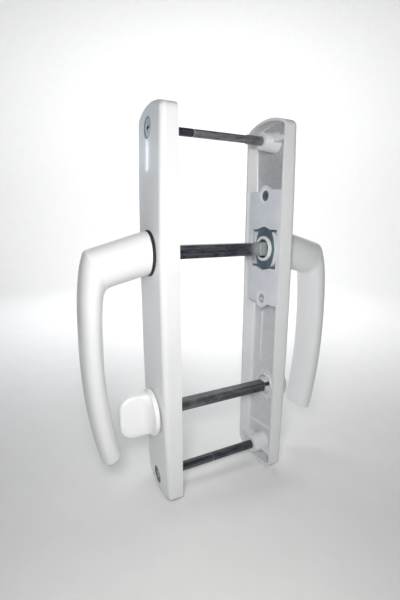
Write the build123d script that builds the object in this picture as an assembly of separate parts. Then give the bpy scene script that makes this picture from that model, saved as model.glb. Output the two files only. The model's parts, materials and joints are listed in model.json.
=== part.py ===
from build123d import *
import math
import os

# Bathroom door handle set: two long plates, two lever handles on one square
# spindle, and a privacy thumbturn with its bar and emergency release.
# The inside of the room is at -Y and the outside at +Y. Z runs up the plates.
# The origin is on the spindle axis, midway between the two plates.
# A plate is drawn in its own frame: its rim is at depth 0 and its outer face
# at a positive depth. The outside plate sits at +Y and the inside one mirrors it.

# Plates
plate_gap = 68.0
plate_width = 40.0
plate_above_spindle = 80.5
plate_below_spindle = 159.5
plate_depth_middle = 12.0
plate_depth_end = 9.7
plate_cross_radius = 300.0
plate_wall = 1.6
end_arc_radius = 45.0
plate_corner_radius = 4.2
face_edge_radius = 3.2

# Tie bolts
top_bolt_height = 67.6
bottom_bolt_height = -148.4
top_boss_nose_radius = 5.2
bottom_boss_nose_radius = 5.9
boss_flare = 1.6
boss_nose_length = 3.0
boss_rib_thickness = 2.6
boss_rib_depth = 1.6
top_bolt_radius = 2.3
top_bolt_end_radius = 2.75
top_bolt_thread_radius = 1.5
bottom_bolt_radius = 3.1
bottom_bolt_end_radius = 3.1
bottom_bolt_thread_radius = 2.1
bolt_end_chamfer = 0.4
bore_past_thread = 4.0
top_bolt_joint = -16.5
bottom_bolt_joint = -2.6
bolt_joint_gap = 0.4
sleeve_end_length = 14.0
sleeve_seat_depth = 7.0
thread_engagement = 15.0
bolt_head_radius = 4.9
bolt_head_depth = 2.6
bolt_head_sink = 0.35

# Floor ribs of a plate
cross_rib_height = -135.4
cross_rib_radius = 1.8
cross_rib_rise = 1.3
cross_rib_slant = 9.0
floor_rib_offset = 9.0
floor_rib_thickness = 1.2
floor_rib_rise = 0.9
floor_rib_top = -47.0
floor_rib_bottom = -86.0

# Bearing plates with their screws
bearing_depth = 1.3
bearing_thickness = 1.8
bearing_width = 33.2
bearing_length = 75.0
bearing_corner_radius = 1.5
bearing_screw_spacing = 69.0
bearing_tab_radius = 6.6
screw_boss_radius = 5.0
screw_radius = 1.7
screw_head_radius = 3.4
screw_dimple_radius = 4.9
screw_dimple_depth = 0.5
screw_length = 6.2
screw_hole_extra_depth = 0.5

# Lever neck, its bush and its retaining ring
neck_radius = 12.7
spigot_radius = 8.4
spigot_end_depth = 0.9
spigot_recess_radius = 6.25
spigot_recess_length = 3.4
bush_wall = 1.5
bush_collar_radius = 13.3
bush_collar_thickness = 2.0
bush_seat_sink = 0.35
hub_boss_radius = 14.0
ring_thickness = 0.8
ring_seat_step = 0.1
ring_groove_depth = 0.8
ring_half_height = 14.4
ring_half_width = 9.9
ring_shoulder_width = 7.4
ring_shoulder_height = 12.6
ring_ear_reach = 12.4
ring_ear_height = 12.2
ring_ear_thickness = 0.8
ring_ear_root_width = 6.9
ring_ear_root_height = 11.3
window_half_width = 14.2
window_half_height = 12.8
window_clearance = 0.5

# Spindle and set screws
spindle_side = 8.0
spindle_half_length = 60.5
spindle_slot_height = 1.8
spindle_slot_end = 23.0
set_screw_radius = 2.5
set_screw_length = 7.5
set_screw_reach = 8.5
set_screw_socket_radius = 1.4
set_screw_socket_depth = 2.5
spindle_edge_chamfer = 0.4

# Collar on the spindle's outside end
collar_side = 9.0
collar_start = -4.0
collar_edge_chamfer = 0.8
collar_mouth_chamfer = 0.35

# Lever grip, on the outside of the door: each station is the centre of an oval
# cross-section at (distance from the plate face, height), the lean of the
# section from the vertical, its full thickness and its full width along X.
lever_stations = [
    (11.5, -2.4, 8.0, 25.0, 25.3),
    (22.0, -5.2, 16.0, 24.4, 25.1),
    (28.0, -7.4, 27.0, 24.2, 25.0),
    (30.9, -12.3, 44.0, 18.6, 24.8),
    (32.6, -18.7, 60.0, 15.2, 24.8),
    (34.1, -27.5, 80.0, 13.1, 24.8),
    (35.5, -45.0, 86.0, 13.0, 24.6),
    (35.8, -64.0, 90.0, 12.9, 24.1),
    (34.8, -83.0, 94.0, 12.7, 23.3),
    (32.8, -101.0, 99.0, 12.7, 22.7),
    (30.5, -114.6, 107.0, 12.6, 22.6),
    (28.7, -121.4, 115.0, 12.6, 22.4),
    (28.1, -123.9, 115.0, 11.0, 20.0),
]
lever_elbow_station = 4
lever_tip_radius = 1.7

# Thumbturn, privacy bar and emergency release
privacy_height = -101.2
bar_side = 6.5
bar_shoulder = 39.6
bar_edge_chamfer = 0.3
tang_width = 2.0
tang_thickness = 1.6
tang_length = 11.6
bar_socket_depth = 17.0
turn_base_radius = 16.2
turn_rim_thickness = 2.2
turn_reach = 22.3
turn_half_height = 14.2
turn_root_half_thickness = 3.9
turn_tip_half_thickness = 3.2
turn_flare_length = 6.5
turn_flare_bow = 0.27
turn_corner_radius = 8.0
turn_edge_radius = 1.6
turn_hub_radius = 7.0
turn_hub_end_depth = 6.9
privacy_boss_radius = 10.8
privacy_boss_rise = 0.9
release_head_radius = 10.8
release_head_thickness = 8.9
release_edge_radius = 2.4
release_barrel_radius = 8.6
release_bore_radius = 7.4
release_barrel_end_depth = 7.2
release_floor_depth = 14.6
release_slot_width = 1.8
release_slot_length = 14.0
release_slot_depth = 1.2
star_thickness = 0.6
star_band = 1.7
star_tooth = 1.6
star_tooth_half_root = 2.0
star_tooth_overlap = 0.4
star_teeth = 8

# Clearances
running_fit = 0.1
snug_fit = 0.05
screw_fit = 0.1
shank_fit = 0.15
face_gap = 0.3
turned_base_gap = 0.6
washer_gap = 0.05

# Overlap of joined solids, and reach of a cutter past the solid that it cuts
join_overlap = 0.5
cut_past = 2.0

# Worked out from the driving sizes
rim_y = plate_gap / 2
crown_centre = (plate_above_spindle - plate_below_spindle) / 2
half_length = (plate_above_spindle + plate_below_spindle) / 2
crown_drop = plate_depth_middle - plate_depth_end
crown_radius = (half_length**2 + crown_drop**2) / (2 * crown_drop)


def face_depth(height, inset=0.0):
    """Depth of the crowned outer face, or of a face that runs inside it."""
    radius = crown_radius - inset
    sag = radius - math.sqrt(radius**2 - (height - crown_centre) ** 2)
    return plate_depth_middle - inset - sag


spindle_face = face_depth(0.0)
privacy_face = face_depth(privacy_height)
collar_face = spindle_face - bush_seat_sink + bush_collar_thickness
neck_start = collar_face + face_gap
bearing_seat = bearing_depth + bearing_thickness
ring_seat = bearing_seat + ring_seat_step
bush_outer_radius = spigot_radius + running_fit + bush_wall


def along_y(sketch, start, end):
    """Extrudes a sketch of the X-Z plane from one depth to another."""
    solid = extrude(Plane.XZ * sketch, amount=end - start, dir=(0, 1, 0))
    return Pos(0, start, 0) * solid


def rod(radius, start, end, height=0.0):
    """Round bar along Y."""
    return along_y(Pos(0, height) * Circle(radius), start, end)


def cone(start_radius, end_radius, start, end, height=0.0):
    """Round taper along Y."""
    solid = Rot(-90, 0, 0) * Cone(start_radius, end_radius, end - start)
    return Pos(0, (start + end) / 2, height) * solid


def bar(width, thickness, start, end, height=0.0):
    """Rectangular bar along Y."""
    return along_y(Pos(0, height) * Rectangle(width, thickness), start, end)


def outside(solid):
    """Moves a solid from the plate's own frame to the outside plate's place."""
    return Pos(0, rim_y, 0) * solid


def inside(solid):
    """Mirrors a solid from the plate's own frame to the inside plate's place."""
    return mirror(Pos(0, rim_y, 0) * solid, about=Plane.XZ)


def plate_outline(inset):
    """Outline of a plate: straight sides, low arched ends, rounded corners."""
    half = plate_width / 2 - inset
    radius = end_arc_radius - inset
    rise = radius - math.sqrt(radius**2 - half**2)
    top = plate_above_spindle - inset
    bottom = -plate_below_spindle + inset
    edges = [
        Line((half, bottom + rise), (half, top - rise)),
        ThreePointArc((half, top - rise), (0, top), (-half, top - rise)),
        Line((-half, top - rise), (-half, bottom + rise)),
        ThreePointArc((-half, bottom + rise), (0, bottom), (half, bottom + rise)),
    ]
    face = make_face(edges)
    return fillet(face.vertices(), plate_corner_radius - inset)


def crowned_block(inset, start):
    """Block with the plate's outline whose far face is crowned both ways."""
    reach = half_length + cut_past
    low = crown_centre - reach
    high = crown_centre + reach
    axis_depth = plate_depth_middle - plate_cross_radius
    near = start - cut_past - axis_depth
    profile = make_face([
        Polyline(
            (face_depth(low, inset) - axis_depth, low), (near, low),
            (near, high), (face_depth(high, inset) - axis_depth, high),
        ),
        ThreePointArc(
            (face_depth(high, inset) - axis_depth, high),
            (plate_cross_radius - inset, crown_centre),
            (face_depth(low, inset) - axis_depth, low),
        ),
    ])
    half_turn = math.asin(plate_width / plate_cross_radius)
    start_plane = Plane(
        origin=(0, axis_depth, 0),
        x_dir=(math.sin(half_turn), math.cos(half_turn), 0),
        z_dir=(math.cos(half_turn), -math.sin(half_turn), 0),
    )
    axis = Axis((0, axis_depth, 0), (0, 0, 1))
    crown = revolve(start_plane * profile, axis, math.degrees(2 * half_turn))
    block = crown & along_y(plate_outline(inset), start, plate_depth_middle + cut_past)
    far_face = block.faces().sort_by(Axis.Y)[-1]
    return fillet(far_face.edges(), face_edge_radius - inset)


def bolt_boss(height, nose_radius):
    """Tapered boss that reaches past the rim, with a rib to each side wall."""
    root = face_depth(height)
    boss = cone(nose_radius, nose_radius + boss_flare, -boss_nose_length, root, height)
    return boss + bar(plate_width, boss_rib_thickness, boss_rib_depth, root, height)


def floor_ribs():
    """Two low lengthwise ribs and one slanted round-topped rib on the floor."""
    floor = face_depth(cross_rib_height) - plate_wall
    bead = Rot(0, 90 - cross_rib_slant, 0) * Cylinder(cross_rib_radius, plate_width)
    ribs = Pos(0, floor - cross_rib_rise + cross_rib_radius, cross_rib_height) * bead
    middle = (floor_rib_top + floor_rib_bottom) / 2
    length = floor_rib_top - floor_rib_bottom
    top = face_depth(middle) - plate_wall - floor_rib_rise
    low = bar(floor_rib_thickness, length, top, plate_depth_middle, middle)
    for side in (1, -1):
        ribs += Pos(side * floor_rib_offset, 0, 0) * low
    return ribs


def plate_blank():
    """Hollow plate with all the bosses and ribs that both plates share."""
    bosses = bolt_boss(top_bolt_height, top_boss_nose_radius)
    bosses += bolt_boss(bottom_bolt_height, bottom_boss_nose_radius)
    bosses += floor_ribs()
    bosses += rod(hub_boss_radius, ring_seat, plate_depth_middle)
    for side in (1, -1):
        height = side * bearing_screw_spacing / 2
        bosses += rod(screw_boss_radius, bearing_seat, plate_depth_middle, height)
    privacy_seat = privacy_face - plate_wall - privacy_boss_rise
    bosses += rod(privacy_boss_radius, privacy_seat, plate_depth_middle, privacy_height)
    bosses &= crowned_block(plate_wall / 2, -boss_nose_length - cut_past)
    plate = crowned_block(0.0, 0.0) - crowned_block(plate_wall, -cut_past) + bosses
    hole_end = bearing_depth + screw_length + screw_hole_extra_depth
    for side in (1, -1):
        height = side * bearing_screw_spacing / 2
        plate -= rod(screw_radius + screw_fit, 0, hole_end, height)
    beyond = plate_depth_middle + cut_past
    plate -= rod(bush_outer_radius + snug_fit, 0, beyond)
    seat = spindle_face - bush_seat_sink
    return plate - rod(bush_collar_radius + face_gap, seat, beyond)


def outside_plate():
    """Plate with blind seats for the tie sleeves and a hole for the release."""
    plate = plate_blank()
    for height, radius in (
        (top_bolt_height, top_bolt_end_radius),
        (bottom_bolt_height, bottom_bolt_end_radius),
    ):
        plate -= rod(
            radius + snug_fit, -boss_nose_length - cut_past, sleeve_seat_depth + snug_fit, height
        )
    hole = release_barrel_radius + running_fit
    plate -= rod(hole, 0, plate_depth_middle + cut_past, privacy_height)
    return outside(plate)


def inside_plate():
    """Plate with countersunk through holes and a hole for the thumbturn."""
    plate = plate_blank()
    for height, radius in (
        (top_bolt_height, top_bolt_radius),
        (bottom_bolt_height, bottom_bolt_radius),
    ):
        beyond = plate_depth_middle + cut_past
        plate -= rod(radius + shank_fit, -boss_nose_length - cut_past, beyond, height)
        head_top = face_depth(height) - bolt_head_sink
        sink = bolt_head_radius + shank_fit
        plate -= cone(
            radius + shank_fit, sink, head_top - bolt_head_depth, head_top, height
        )
        plate -= rod(sink, head_top, beyond, height)
    hole = turn_hub_radius + running_fit
    plate -= rod(hole, 0, plate_depth_middle + cut_past, privacy_height)
    return inside(plate)


def bearing_plate():
    """Flat plate screwed across the back, with a window for the retaining ring."""
    sheet = Rectangle(bearing_width, bearing_length)
    sheet = fillet(sheet.vertices(), bearing_corner_radius)
    for side in (1, -1):
        sheet += Pos(0, side * bearing_screw_spacing / 2) * Circle(bearing_tab_radius)
    peak = ring_half_height + window_clearance
    sheet -= make_face(Polyline(
        (0, peak), (ring_shoulder_width, window_half_height),
        (window_half_width, window_half_height), (window_half_width, -window_half_height),
        (ring_shoulder_width, -window_half_height), (0, -peak),
        (-ring_shoulder_width, -window_half_height), (-window_half_width, -window_half_height),
        (-window_half_width, window_half_height), (-ring_shoulder_width, window_half_height),
        (0, peak),
    ))
    plate = along_y(sheet, bearing_depth, bearing_seat)
    dimple_end = bearing_depth + screw_dimple_depth
    for side in (1, -1):
        height = side * bearing_screw_spacing / 2
        head_hole = screw_head_radius + screw_fit
        plate -= cone(screw_dimple_radius, head_hole, bearing_depth, dimple_end, height)
        plate -= cone(head_hole, screw_radius + screw_fit, dimple_end, bearing_seat, height)
    return plate


def bearing_screws():
    """The two countersunk screws of a bearing plate, as separate solids."""
    screws = []
    head_top = bearing_depth + screw_dimple_depth
    for side in (1, -1):
        height = side * bearing_screw_spacing / 2
        head = cone(screw_head_radius, screw_radius, head_top, bearing_seat, height)
        shank = rod(screw_radius, bearing_seat, bearing_depth + screw_length, height)
        screws.append(head + shank)
    return Compound(children=screws)


def retaining_ring():
    """Sprung ring with a blunt peak top and bottom and four thin ears."""
    ear_bottom = ring_ear_height - ring_ear_thickness
    root = (ring_ear_root_width, ring_ear_root_height)
    crest = [
        root, (ring_ear_reach, ear_bottom), (ring_ear_reach, ring_ear_height),
        (ring_shoulder_width, ring_shoulder_height), (0, ring_half_height),
        (-ring_shoulder_width, ring_shoulder_height), (-ring_ear_reach, ring_ear_height),
        (-ring_ear_reach, ear_bottom), (-root[0], root[1]),
    ]
    outline = make_face([
        Polyline(*crest),
        ThreePointArc((-root[0], root[1]), (-ring_half_width, 0), (-root[0], -root[1])),
        Polyline(*[(-x, -z) for x, z in crest]),
        ThreePointArc((root[0], -root[1]), (ring_half_width, 0), root),
    ])
    outline -= Circle(spigot_radius - ring_groove_depth + running_fit)
    return along_y(outline, ring_seat - ring_thickness, ring_seat)


def neck_bush():
    """Dark bearing bush: a sleeve through the plate with a visible collar."""
    seat = spindle_face - bush_seat_sink
    bush = rod(bush_outer_radius, ring_seat + face_gap, seat)
    bush += rod(bush_collar_radius, seat, seat + bush_collar_thickness)
    return bush - rod(spigot_radius + running_fit, 0, seat + bush_collar_thickness + cut_past)


def oval_section(station):
    """One oval cross-section of the lever, square to the lever's own run."""
    out, height, lean, thickness, width = station
    angle = math.radians(lean)
    run = (0, math.cos(angle), -math.sin(angle))
    centre = (0, spindle_face + out, height)
    plane = Plane(origin=centre, x_dir=(1, 0, 0), z_dir=run)
    if thickness == width:
        return plane * Circle(width / 2)
    return plane * Ellipse(width / 2, thickness / 2)


def lever():
    """Cast lever: round neck, bent grip of oval section and a grooved spigot."""
    first = (neck_start - spindle_face, 0.0, 0.0, 2 * neck_radius, 2 * neck_radius)
    sections = [oval_section(station) for station in (first, *lever_stations)]
    neck = loft(sections[:lever_elbow_station + 1])
    grip = loft(sections[lever_elbow_station:])
    tip = grip.faces().sort_by(Axis.Z)[0]
    grip = fillet(tip.edges(), lever_tip_radius)
    body = neck + grip + rod(spigot_radius, spigot_end_depth, neck_start + join_overlap)
    groove = rod(spigot_radius + cut_past, ring_seat - ring_thickness - snug_fit, ring_seat + snug_fit)
    groove -= rod(spigot_radius - ring_groove_depth, 0, ring_seat + cut_past)
    body -= groove
    recess_end = spigot_end_depth + spigot_recess_length
    body -= rod(spigot_recess_radius, 0, recess_end)
    socket = spindle_side + 2 * snug_fit
    socket_end = spindle_half_length - rim_y + face_gap
    body -= bar(socket, socket, 0, socket_end)
    hole = Rot(0, -90, 0) * Cylinder(
        set_screw_radius + snug_fit, neck_radius + cut_past, align=(Align.CENTER, Align.CENTER, Align.MIN)
    )
    return body - Pos(0, spindle_face + set_screw_reach, 0) * hole


def set_screw():
    """Grub screw that clamps a lever to the spindle, on the neck's hidden side."""
    inner_end = spindle_side / 2 + snug_fit
    outer_end = inner_end + set_screw_length
    screw = Cylinder(
        set_screw_radius, set_screw_length, align=(Align.CENTER, Align.CENTER, Align.MIN)
    )
    socket = extrude(
        RegularPolygon(set_screw_socket_radius, 6), amount=set_screw_socket_depth
    )
    screw = Pos(0, 0, inner_end) * screw
    screw -= Pos(0, 0, outer_end - set_screw_socket_depth) * socket
    return Pos(0, spindle_face + set_screw_reach, 0) * Rot(0, -90, 0) * screw


def lever_spindle():
    """Square steel spindle with a long slot that is open at its inside end."""
    spindle = bar(spindle_side, spindle_side, -spindle_half_length, spindle_half_length)
    spindle = chamfer(spindle.edges().filter_by(Axis.Y), spindle_edge_chamfer)
    slot_half = spindle_slot_height / 2
    beyond = spindle_half_length + cut_past
    round_end = spindle_slot_end - slot_half
    slot = bar(spindle_side + cut_past, spindle_slot_height, -beyond, round_end)
    slot += Pos(0, round_end, 0) * Rot(0, 90, 0) * Cylinder(slot_half, spindle_side + cut_past)
    return spindle - slot


def spindle_collar():
    """Square collar pressed on the spindle, which stops it in the outside lever."""
    end = spigot_end_depth + spigot_recess_length - snug_fit
    collar = bar(collar_side, collar_side, collar_start, end)
    collar = chamfer(collar.edges().filter_by(Axis.Y), collar_edge_chamfer)
    mouth = collar.faces().sort_by(Axis.Y)[0]
    collar = chamfer(mouth.edges(), collar_mouth_chamfer)
    hole = spindle_side + 2 * snug_fit
    return outside(collar - bar(hole, hole, collar_start - cut_past, end + cut_past))


def tie_sleeve(height, radius, end_radius, thread_radius, joint):
    """Threaded sleeve seated in the outside plate's boss."""
    sleeve_end = rim_y + sleeve_seat_depth
    thick_start = rim_y - sleeve_end_length
    sleeve = rod(radius, joint, thick_start, height)
    sleeve += rod(end_radius, thick_start, sleeve_end, height)
    mouth = sleeve.faces().sort_by(Axis.Y)[0]
    sleeve = chamfer(mouth.edges(), bolt_end_chamfer)
    bore_end = joint + thread_engagement + bore_past_thread
    return sleeve - rod(thread_radius + snug_fit, joint - cut_past, bore_end, height)


def tie_screw(height, radius, thread_radius, joint):
    """Countersunk shoulder screw put in from the inside plate's face."""
    head_top = -(rim_y + face_depth(height) - bolt_head_sink)
    head_end = head_top + bolt_head_depth
    screw = cone(bolt_head_radius, radius, head_top, head_end, height)
    screw += rod(radius, head_end, joint - bolt_joint_gap, height)
    return screw + rod(thread_radius, joint - bolt_joint_gap, joint + thread_engagement, height)


def thumbturn():
    """Round base that flares into an upright paddle, with a hub for the bar."""
    back = privacy_face + turned_base_gap
    rim = back + turn_rim_thickness
    neck = rim + turn_flare_length
    tip = privacy_face + turn_reach
    root = turn_root_half_thickness
    edge = turn_tip_half_thickness
    base = turn_base_radius
    bow = (root + (base - root) * turn_flare_bow, rim + turn_flare_length * turn_flare_bow)
    flare_profile = make_face([
        Line((base, back), (base, rim)),
        ThreePointArc((base, rim), bow, (root, neck)),
        Line((root, neck), (-root, neck)),
        ThreePointArc((-root, neck), (-bow[0], bow[1]), (-base, rim)),
        Line((-base, rim), (-base, back)),
        Line((-base, back), (base, back)),
    ])
    flare = extrude(flare_profile, amount=base, both=True) & rod(base, back, neck)
    half_height = turn_half_height
    wedge_profile = make_face(Polyline(
        (root, back), (edge, tip), (-edge, tip), (-root, back), (root, back)
    ))
    wedge = extrude(wedge_profile, amount=base, both=True)
    side = make_face(Polyline(
        (back, -half_height), (tip, -half_height),
        (tip, half_height), (back, half_height), (back, -half_height),
    ))
    side = fillet(side.vertices().group_by(Axis.X)[-1], turn_corner_radius)
    paddle = wedge & extrude(Plane.YZ * side, amount=base, both=True)
    back_edges = paddle.faces().sort_by(Axis.Y)[0].edges()
    around = [
        edge_line for edge_line in paddle.edges()
        if edge_line not in back_edges and abs(edge_line.tangent_at(0.5).X) < 0.5
    ]
    paddle = fillet(around, turn_edge_radius)
    turn = flare + paddle
    turn += rod(turn_hub_radius, turn_hub_end_depth, back + join_overlap)
    socket = bar_side + 2 * snug_fit
    turn -= bar(socket, socket, 0, bar_socket_depth)
    return inside(Pos(0, 0, privacy_height) * turn)


def privacy_bar():
    """Square bar from the thumbturn, ending in a slender flat tang."""
    start = -(rim_y + bar_socket_depth - face_gap)
    body = bar(bar_side, bar_side, start, bar_shoulder, privacy_height)
    body = chamfer(body.edges().filter_by(Axis.Y), bar_edge_chamfer)
    end = bar_shoulder + tang_length
    return body + bar(tang_width, tang_thickness, bar_shoulder - join_overlap, end, privacy_height)


def release_button():
    """Round coin-slot button: hollow behind, with a slot for the bar's tang."""
    back = privacy_face + turned_base_gap
    top = back + release_head_thickness
    head = rod(release_head_radius, back, top)
    head = fillet(head.faces().sort_by(Axis.Y)[-1].edges(), release_edge_radius)
    button = head + rod(release_barrel_radius, release_barrel_end_depth, back + join_overlap)
    button -= rod(release_bore_radius, 0, release_floor_depth)
    tang_end = bar_shoulder + tang_length - rim_y
    button -= bar(
        tang_width + 2 * snug_fit, tang_thickness + 2 * snug_fit, 0, tang_end + face_gap
    )
    button -= bar(release_slot_length, release_slot_width, top - release_slot_depth, top + cut_past)
    return outside(Pos(0, 0, privacy_height) * button)


def star_washer(hub_radius):
    """Push-on washer with pointed teeth, behind the wall that it holds."""
    inner = hub_radius + snug_fit
    band = inner + star_band
    sheet = Circle(band)
    step = 360 / star_teeth
    for index in range(star_teeth):
        root = band - star_tooth_overlap
        tooth = make_face(Polyline(
            (root, -star_tooth_half_root), (band + star_tooth, 0),
            (root, star_tooth_half_root), (root, -star_tooth_half_root),
        ))
        sheet += Rot(0, 0, (index + 0.5) * step) * tooth
    sheet -= Circle(inner)
    seat = privacy_face - plate_wall - privacy_boss_rise - washer_gap
    return Pos(0, 0, privacy_height) * along_y(sheet, seat - star_thickness, seat)


def all_nodes():
    """Every sub-part at its place in the assembly."""
    ring = retaining_ring()
    bush = neck_bush()
    bearing = bearing_plate()
    screws = bearing_screws()
    handle = lever()
    grub = set_screw()
    return {
        "inside_plate": inside_plate(),
        "outside_plate": outside_plate(),
        "inside_bearing_plate": inside(bearing),
        "outside_bearing_plate": outside(bearing),
        "inside_bearing_screws": inside(screws),
        "outside_bearing_screws": outside(screws),
        "inside_retaining_ring": inside(ring),
        "outside_retaining_ring": outside(ring),
        "inside_neck_bush": inside(bush),
        "outside_neck_bush": outside(bush),
        "top_tie_sleeve": tie_sleeve(
            top_bolt_height, top_bolt_radius, top_bolt_end_radius,
            top_bolt_thread_radius, top_bolt_joint,
        ),
        "bottom_tie_sleeve": tie_sleeve(
            bottom_bolt_height, bottom_bolt_radius, bottom_bolt_end_radius,
            bottom_bolt_thread_radius, bottom_bolt_joint,
        ),
        "top_tie_screw": tie_screw(
            top_bolt_height, top_bolt_radius, top_bolt_thread_radius, top_bolt_joint
        ),
        "bottom_tie_screw": tie_screw(
            bottom_bolt_height, bottom_bolt_radius, bottom_bolt_thread_radius,
            bottom_bolt_joint,
        ),
        "inside_lever": inside(handle),
        "outside_lever": outside(handle),
        "inside_lever_set_screw": inside(grub),
        "outside_lever_set_screw": outside(grub),
        "lever_spindle": lever_spindle(),
        "spindle_collar": spindle_collar(),
        "thumbturn": thumbturn(),
        "thumbturn_star_washer": inside(star_washer(turn_hub_radius)),
        "privacy_bar": privacy_bar(),
        "release_button": release_button(),
        "release_star_washer": outside(star_washer(release_barrel_radius)),
    }


os.makedirs("parts", exist_ok=True)
for name, shape in all_nodes().items():
    export_step(shape, f"parts/{name}.step")
    print(name, round(shape.volume, 1))
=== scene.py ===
import json
import math

import bmesh
import bpy
from mathutils import Matrix, Vector


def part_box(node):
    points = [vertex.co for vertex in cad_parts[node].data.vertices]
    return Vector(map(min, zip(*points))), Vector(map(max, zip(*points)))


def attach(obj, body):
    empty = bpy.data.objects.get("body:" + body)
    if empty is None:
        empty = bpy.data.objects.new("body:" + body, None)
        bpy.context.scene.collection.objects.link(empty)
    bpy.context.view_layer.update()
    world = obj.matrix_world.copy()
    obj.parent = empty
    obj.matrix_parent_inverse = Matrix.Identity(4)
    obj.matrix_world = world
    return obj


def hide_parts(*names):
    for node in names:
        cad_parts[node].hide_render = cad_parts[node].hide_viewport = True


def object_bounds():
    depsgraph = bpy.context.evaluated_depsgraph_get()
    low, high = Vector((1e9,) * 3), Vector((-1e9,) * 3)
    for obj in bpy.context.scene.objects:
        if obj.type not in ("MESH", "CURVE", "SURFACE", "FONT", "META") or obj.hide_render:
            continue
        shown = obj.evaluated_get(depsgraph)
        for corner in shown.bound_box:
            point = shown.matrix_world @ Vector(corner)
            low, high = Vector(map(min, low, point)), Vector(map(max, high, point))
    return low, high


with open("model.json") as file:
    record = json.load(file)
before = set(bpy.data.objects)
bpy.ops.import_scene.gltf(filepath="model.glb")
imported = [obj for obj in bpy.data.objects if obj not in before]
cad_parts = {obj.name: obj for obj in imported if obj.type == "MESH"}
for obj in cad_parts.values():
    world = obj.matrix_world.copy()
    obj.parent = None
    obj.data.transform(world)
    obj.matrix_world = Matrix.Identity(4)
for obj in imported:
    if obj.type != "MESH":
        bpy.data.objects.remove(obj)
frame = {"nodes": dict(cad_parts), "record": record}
cad_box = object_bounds()

# Camera, fitted to the straight edges of the photo
CAMERA_PLACE = (0.1982, -0.1094, 0.0183)
CAMERA_PITCH_DOWN = 12.624
CAMERA_TURN = 63.874
CAMERA_LENS_MM = 21.16
CAMERA_SENSOR_MM = 36.0
CAMERA_NEAREST = 0.005

# Stage: a round floor that bends up into a wall
FLOOR_GAP = 0.0004
FLOOR_RADIUS = 0.8
FLOOR_STEPS = 8
COVE_BEND = 0.45
COVE_HEIGHT = 1.5
COVE_STEPS = 16
COVE_SIDES = 96

# Where the stage turns from grey to pale: in metres along the camera's view, in metres along the
# azimuth PAPER_SIDE, and round the object in square metres of the distance squared
PAPER_FADE = (-0.60, -0.30)
PAPER_SIDE = 98
PAPER_SIDE_FADE = (-0.25, -0.13)
NEAR_FLOOR_FADE = (0.10, 0.30)
PAPER_ROUGH = 0.9

# Lights: place, aim, size, power and colour; fills are azimuth, elevation, power and colour
LIGHT_AIM = (0, 0, -0.03)
WHITE = (1.0, 1.0, 1.0)
KEY = ((0.190, -0.116, 0.038), LIGHT_AIM, (0.06, 0.06), 0.49, (1.0, 0.985, 0.965))
WINDOW = ((-0.656, -0.252, 0.181), (0, -0.0446, 0.0536), (0.018, 0.07), 0.06, (0.9, 0.96, 1.0))
WALL_WASH = ((-0.3, 0.15, 0.6), (-1.15, 0.57, 0.10), (0.5, 0.5), 9.0, WHITE)
FLOOR_WASH = ((-0.25, 0.12, 0.35), (-0.62, 0.30, 0.0), (0.4, 0.4), 0.8, WHITE)
FILL_DISTANCE = 0.7
FILL_SIZE = (0.35, 0.35)
FILLS = {
    "low_front": (270, -5, 0.04, (0.86, 0.94, 1.0)),
    "right": (0, 52, 0.15, WHITE),
    "top": (0, 88, 0.22, WHITE),
    "back_left": (190, 20, 0.14, (0.55, 0.8, 1.0)),
}
WORLD_STRENGTH = 0.02

# White coat: dark and light tone, roughness, the strength and depth of its orange peel, its gloss
COAT_TONES = ((0.77, 0.78, 0.795), (0.80, 0.81, 0.82))
# The thumbturn's tones are the same white coat painted lighter, as painted light.
THUMBTURN_LIT_TONES = ((0.88, 0.89, 0.90), (0.90, 0.91, 0.92))
COAT_ROUGH = (0.30, 0.38)
COAT_PEEL = (0.05, 0.0002)
GLOSS_WEIGHT = 0.3
GLOSS_ROUGH = 0.1

# Bare casting in the cavity: the heights between which painted shade darkens the cavity's floor
# towards the top, the soft edges of its mask, and how far the mask reaches into the floor and ends
# inside the outline, as shares of the wall
CASTING_SHADE_HEIGHTS = (-0.09, 0.05)
CASTING_FADE = (0.0007, 0.0003)
CASTING_EDGE = 0.0001
CASTING_INTO_FLOOR = (0.4, 0.6)
CASTING_INSET = 0.8

# Steel: the stretch of its die lines, the half width and soft edge of the painted highlight across a
# joint or shoulder, and the soft edge of the bare end
DIE_LINES = (1500, 22, 1500)
EDGE_HIGHLIGHT_HALF_WIDTH = 0.00012
EDGE_HIGHLIGHT_FADE = 0.0002
BARE_END_FADE = 0.004

# Plates: their rims' distance from the middle of the door, and their outer faces' crown
PLATE_RIM = 0.034
PLATE_HALF_WIDTH = 0.020
PLATE_HALF_LENGTH = 0.120
PLATE_MIDDLE_HEIGHT = -0.0395
PLATE_DEPTH = 0.012
PLATE_END_DROP = 0.0023
PLATE_CROSS_RADIUS = 0.300
PLATE_END_RADIUS = 0.045
PLATE_WALL = 0.0016

# Tie bolts: where screw and sleeve meet, the screw's radii and pitch, and its head's two tones, the
# face's own tone and the recess's tone, which is painted shade on the top screw and a painted
# highlight on the bottom one;
# the thread's core, point length and point radius are shares of its radius
TOP_BOLT = {
    "joint": -0.0165, "shank": 0.0023, "thread": 0.0015, "pitch": 0.0005,
    # the face has the plating's own tone; the recess's near-black tone is painted shade
    "face": (0.36, 0.43, 0.50), "recess": (0.05, 0.06, 0.07),
}
BOTTOM_BOLT = {
    "joint": -0.0026, "shank": 0.0031, "thread": 0.0021, "pitch": 0.0007,
    # the face has the bolt's own dark tone; the recess's pale tone is a painted highlight
    "face": (0.06, 0.07, 0.085), "recess": (0.75, 0.79, 0.83),
}
BOLT_JOINT_GAP = 0.0004
BOLT_HEAD_DEPTH = 0.0026
BOLT_HEAD_EDGE = 0.0003
BOLT_CORE = 0.80
BOLT_POINT_LENGTH = 0.4
BOLT_POINT_RADIUS = 0.55
BAR_SHOULDER = 0.0396

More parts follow.
